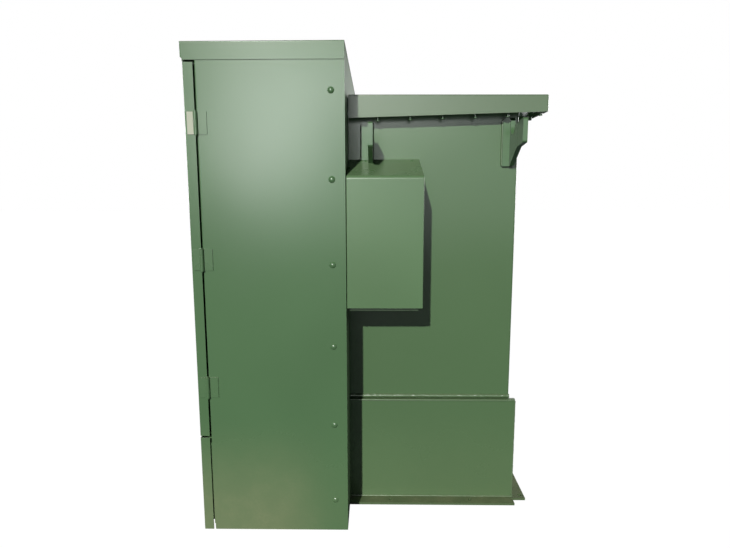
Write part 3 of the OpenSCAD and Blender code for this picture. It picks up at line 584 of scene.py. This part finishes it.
# ---------------------------------------------------------------- cabinet
def make_cabinet():
    w, top = PANEL_HI.x, PANEL_HI.z
    for side, s in (("right", 1), ("left", -1)):
        node = "side_panel_" + side
        panel = folded_copy(node, "cabinet_" + node, [
            (lambda e, s=s: runs(e, 2) and lies(e, 0, s * w) and lies(e, 1, PANEL_LO.y), 0.0032)], 0.0008)
        put(panel, "tank", green, "green_enamel", node)
    put(fair_copy("side_panel_bolts", "dome_head_bolts", 0.0003), "tank", green, "green_enamel",
        "side_panel_bolts", angle=50)

    hx, front, hood_top = HOOD_HI.x, HOOD_LO.y, HOOD_HI.z
    hood = folded_copy("hood", "cabinet_hood", [
        (lambda e: lies(e, 2, hood_top) and (lies(e, 0, hx) or lies(e, 0, -hx) or lies(e, 1, front)),
         0.004),
        (lambda e: runs(e, 2) and lies(e, 1, front) and (lies(e, 0, hx) or lies(e, 0, -hx)), 0.004)], 0.0008)
    put(hood, "tank", green, "green_enamel", "hood")

    sill = folded_copy("sill", "cabinet_front_sill", [
        (lambda e: runs(e, 2) and lies(e, 1, SILL_LO.y) and (lies(e, 0, w) or lies(e, 0, -w)), 0.0035)],
        0.0008)
    put(sill, "tank", green, "green_enamel", "sill")

    for node, name in (("lv_door", "low_voltage_door"), ("hv_door", "high_voltage_door")):
        s = 1 if node == "lv_door" else -1
        door = folded_copy(node, name, [
            (lambda e, s=s: runs(e, 2) and lies(e, 1, DOOR_LO.y) and lies(e, 0, s * w)
                and (e.verts[0].co - e.verts[1].co).length > 0.5, 0.0035)], 0.0008)
        put(door, node, green, "green_enamel", node)

    put(fair_copy("terminal_plate", "terminal_plate_welded", 0.0008), "tank", green_inside,
        "green_enamel", "terminal_plate")
    put(fair_copy("compartment_barrier", "insulating_barrier", 0.0005), "tank", green_inside,
        "green_enamel", "compartment_barrier")
    put(fair_copy("hood_sill_bolts", "hex_bolts", 0.0006), "tank", zinc, "zinc_steel", "hood_sill_bolts")


def make_hinges():
    frame_leaves = fair_copy("frame_hinge_leaves", "hinge_frame_leaves", 0.0008)
    put(frame_leaves, "tank", green_hinge, "green_enamel", "frame_hinge_leaves")
    put(fair_copy("hinge_pins", "hinge_pin_rods", 0.0007), "tank", green, "green_enamel", "hinge_pins")
    leaves = fair_copy("lv_hinge_leaves", "hinge_door_leaves_lv", 0.0008)
    put(leaves, "lv_door", green_hinge, "green_enamel", "lv_hinge_leaves")
    leaves.data.materials.append(leaf_sun_highlight)
    # The outward face of the top door leaf gets the painted sun highlight.
    for face in leaves.data.polygons:
        if face.center.z > 1.35 and face.normal.x > 0.5 and face.center.x < HALF_W + 0.006:
            face.material_index = 1
    put(fair_copy("hv_hinge_leaves", "hinge_door_leaves_hv", 0.0008), "hv_door", green_hinge,
        "green_enamel", "hv_hinge_leaves")


def make_latch():
    for node, name, body in (("door_handle", "latch_handle_and_cam", "handle"),
                             ("latch_rod_upper", "latch_rod_up", "upper_rod"),
                             ("latch_rod_lower", "latch_rod_down", "lower_rod"),
                             ("lock_bolt", "penta_head_bolt", "lock_bolt"),
                             ("door_stay_lv", "door_stay_rod_lv", "lv_stay"),
                             ("door_stay_hv", "door_stay_rod_hv", "hv_stay")):
        put(fair_copy(node, name, 0.0009), body, zinc, "zinc_steel", node)


# ---------------------------------------------------------------- terminals
def make_terminals():
    plain = [
        ("hv_bushing_wells", "hv_wells", "tank", epoxy, "epoxy_resin", 0.0018),
        ("bushing_inserts", "loadbreak_inserts", "tank", insert_rubber, "insert_rubber", 0.0016),
        ("parking_stands", "elbow_parking_stands", "tank", zinc, "zinc_steel", 0.0008),
        ("fuse_housings", "fuse_wells", "tank", fuse_resin, "fuse_resin", 0.0014),
        ("fuse_holder_1", "fuse_stick_1", "fuse_1", fuse_resin, "fuse_resin", 0.0012),
        ("fuse_holder_2", "fuse_stick_2", "fuse_2", fuse_resin, "fuse_resin", 0.0012),
        ("fuse_holder_3", "fuse_stick_3", "fuse_3", fuse_resin, "fuse_resin", 0.0012),
        ("drip_tray", "fuse_drip_tray", "tank", zinc, "zinc_steel", 0.0006),
        ("switch_block", "switch_mechanism", "tank", grey_paint, "mechanism_grey", 0.0018),
        ("tap_changer", "tap_changer_mechanism", "tank", grey_paint, "mechanism_grey", 0.0018),
        ("switch_handle", "switch_lever", "switch", yellow, "yellow_enamel", 0.0015),
        ("tap_handle", "tap_lever", "tap", red, "red_enamel", 0.0015),
        ("lv_bushings", "lv_porcelain_bushings", "tank", epoxy, "epoxy_resin", 0.0018),
        ("lv_spades", "lv_terminal_spades", "tank", tin, "tinned_metal", 0.0009),
        ("neutral_strap", "neutral_ground_strap", "tank", copper, "strap_copper", 0.0007),
        ("drain_valve", "oil_drain_valve", "tank", brass, "valve_brass", 0.0012),
        ("drain_lever", "drain_valve_lever", "drain", red, "red_enamel", 0.001),
        ("relief_valve", "pressure_relief_valve", "tank", brass, "valve_brass", 0.001),
        ("relief_ring", "relief_pull_ring", "relief", zinc, "zinc_steel", 0.0004),
    ]
    for node, name, body, finish, slot, width in plain:
        put(fair_copy(node, name, width), body, finish, slot, node, angle=35)

    lo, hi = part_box("nameplate")
    plate = block("rating_plate", lo, hi)
    edit(plate)
    pick(plate, "edges", lambda e: runs(e, 1))
    bpy.ops.mesh.bevel(offset=0.008, segments=5, affect="EDGES")
    leave()
    edit(plate, "FACE")
    pick(plate, "faces", lambda f: f.normal.y < -0.9)
    bpy.ops.mesh.inset(thickness=0.006)
    bpy.ops.transform.translate(value=(0, 0.0005, 0))
    leave()
    put(plate, "tank", plate_finish, "plate_aluminium", "nameplate")


# ---------------------------------------------------------------- inside the tank
def make_active_part():
    put(fair_copy("core", "laminated_core", 0.0015), "tank", core_sheets, "core_steel", "core")
    put(fair_copy("core_clamps", "core_clamp_beams", 0.0015), "tank", core_steel, "core_steel",
        "core_clamps")
    lo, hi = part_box("windings")
    coils = folded_copy("windings", "wound_coils", [
        (lambda e: runs(e, 2) and (lies(e, 1, lo.y) or lies(e, 1, hi.y)), 0.035)], 0.003)
    put(coils, "tank", coil, "winding", "windings")


def lamination_material():
    made, t, shader, place = material("core_lamination_edges")
    waves = t.add("ShaderNodeTexWave", wave_type="BANDS", bands_direction="Y")
    t.feed(waves, Vector=place, Scale=60.0, Distortion=0.4, Detail=2.0)
    t.link(t.blend(waves.outputs["Fac"], (0.22, 0.23, 0.25, 1), (0.10, 0.105, 0.115, 1)),
           shader.inputs["Base Color"])
    t.link(t.ramp(t.noise(place, 40.0), 0.3, 0.7, 0.35, 0.55), shader.inputs["Roughness"])
    bump(t, shader, waves.outputs["Fac"], 0.2, 0.0006)
    shader.inputs["Metallic"].default_value = 0.8
    return made


def plate_material():
    """Etched aluminium: a plain border and ruled rows, with no lettering."""
    made, t, shader, place = material("etched_plate")
    split = t.add("ShaderNodeSeparateXYZ")
    t.link(place, split.inputs[0])
    lo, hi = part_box("nameplate")
    row = t.math("FRACT", t.math("MULTIPLY", t.math("SUBTRACT", split.outputs["Z"], lo.z), 1 / 0.017), 0.0)
    rule = t.math("LESS_THAN", row, 0.09)
    inside = t.math("MULTIPLY", t.math("GREATER_THAN", split.outputs["X"], lo.x + 0.012),
                    t.math("LESS_THAN", split.outputs["X"], hi.x - 0.012))
    mask = t.math("MULTIPLY", rule, inside)
    drawn = t.add("ShaderNodeGroup", node_tree=DRAWN)
    t.feed(drawn, Vector=place, Amount=0.3)
    t.link(t.blend(mask, (0.72, 0.73, 0.74, 1), (0.06, 0.06, 0.065, 1)), shader.inputs["Base Color"])
    t.link(t.math("ADD", drawn.outputs["Value"], 0.36), shader.inputs["Roughness"])
    bump(t, shader, drawn.outputs["Height"], 0.06, 0.0002)
    shader.inputs["Metallic"].default_value = 0.9
    return made


def glass_material():
    made, t, shader, place = material("gauge_glass")
    shader.inputs["Base Color"].default_value = (0.95, 0.97, 0.96, 1)
    shader.inputs["Transmission Weight"].default_value = 1.0
    shader.inputs["IOR"].default_value = 1.49
    t.link(t.ramp(t.noise(place, 30.0), 0.3, 0.7, 0.02, 0.06), shader.inputs["Roughness"])
    return made


core_sheets = lamination_material()
plate_finish = plate_material()
lens_glass = glass_material()
dial_white = moulded("dial_white", (0.75, 0.75, 0.72, 1), 0.5, 300.0, 0.03, 0.05)

make_tank()
make_gauge_box()
make_cabinet()
make_hinges()
make_latch()
make_terminals()
make_active_part()


# ---------------------------------------------------------------- stage, light and camera
SKY = 0.045


def aim(kind, name, place, direction, **values):
    """A light at a place, turned to shine along a direction."""
    data = bpy.data.lights.new(name, kind)
    for key, value in values.items():
        setattr(data, key, value)
    lamp = bpy.data.objects.new(name, data)
    lamp.location = place
    lamp.rotation_euler = Vector(direction).to_track_quat("-Z", "Y").to_euler()
    bpy.context.scene.collection.objects.link(lamp)
    return lamp


def make_stage():
    bpy.ops.object.select_all(action="DESELECT")
    bpy.ops.mesh.primitive_plane_add(size=60, location=(0, 0, 0))
    floor = bpy.context.object
    floor.name = "studio_floor"
    made = bpy.data.materials.new("studio_floor_pale")
    made.use_nodes = True
    t = Tree(made.node_tree)
    shader = made.node_tree.nodes["Principled BSDF"]
    shader.inputs["Base Color"].default_value = (0.12, 0.14, 0.15, 1)
    shader.inputs["Roughness"].default_value = 0.9
    glow = t.add("ShaderNodeEmission")
    glow.inputs["Color"].default_value = (1, 1, 1, 1)
    glow.inputs["Strength"].default_value = 1.15
    seen = t.math("MULTIPLY", t.add("ShaderNodeLightPath").outputs["Is Camera Ray"], 0.87)
    mix = t.add("ShaderNodeMixShader")
    t.link(seen, mix.inputs[0])
    t.link(shader.outputs[0], mix.inputs[1])
    t.link(glow.outputs[0], mix.inputs[2])
    t.link(mix.outputs[0], made.node_tree.nodes["Material Output"].inputs["Surface"])
    floor.data.materials.append(made)

    world = bpy.data.worlds.new("studio")
    bpy.context.scene.world = world
    world.use_nodes = True
    w = Tree(world.node_tree)
    back = world.node_tree.nodes["Background"]
    seen = w.add("ShaderNodeLightPath").outputs["Is Camera Ray"]
    w.link(w.blend(seen, (0.8, 0.93, 1.0, 1), (1, 1, 1, 1)), back.inputs["Color"])
    w.link(w.ramp(seen, 0.0, 1.0, SKY, 1.0), back.inputs["Strength"])

    aim("SUN", "key_light", (4, -1, 3), (-1, 0.22, -0.52), energy=3.4, angle=math.radians(1.2),
        color=(1.0, 0.985, 0.95))
    oval = aim("AREA", "softbox_oval", (5.0, -1.09, 1.84), (-1, 0.12, -0.02), shape="ELLIPSE", size=1.3,
               size_y=1.5, energy=42)
    fill = aim("AREA", "softbox_fill", (5.05, 0.9, 1.75), (-1, 0, 0), shape="RECTANGLE", size=4.6,
               size_y=2.0, energy=46, color=(0.93, 0.97, 1.0))
    top = aim("AREA", "softbox_cover", (5.0, 0.2, 2.35), (-1, 0, -0.1), shape="ELLIPSE", size=2.2,
              size_y=0.6, energy=21)
    # The sides turned away from the key light have their own soft suns and reflections.
    for name, y, strength in (("door_light", -1, 2.6), ("rear_light", 1, 2.2)):
        aim("SUN", name, (-3, 5 * y, 3), (0.5, -y, -0.04), energy=strength, angle=math.radians(20))
    wall = aim("AREA", "softbox_far_side", (-5, 0.1, 1.9), (1, 0, -0.05), shape="RECTANGLE", size=5.0,
               size_y=2.2, energy=60)
    doors = aim("AREA", "softbox_doors", (-0.8, -5.5, 1.9), (0, 1, -0.05), shape="RECTANGLE", size=4.5,
                size_y=2.2, energy=60)
    rear = aim("AREA", "softbox_rear", (-0.8, 6, 1.9), (0, -1, -0.05), shape="RECTANGLE", size=4.5,
               size_y=2.2, energy=60)
    for lamp in (oval, fill, top, wall, doors, rear):
        lamp.visible_diffuse = False


make_stage()
bpy.context.scene.view_settings.view_transform = "Standard"
eye = bpy.data.objects.new("camera", bpy.data.cameras.new("camera"))
eye.data.sensor_width = 36
eye.data.lens = 27.31
eye.matrix_world = (Matrix.Translation((HALF_W + 1.8574, 0.099, 1.2251))
                    @ Matrix.Rotation(math.radians(90.951), 4, "Z")
                    @ Matrix.Rotation(math.radians(81.4), 4, "X")
                    @ Matrix.Rotation(-0.0027, 4, "Z"))
bpy.context.scene.collection.objects.link(eye)
bpy.context.scene.camera = eye
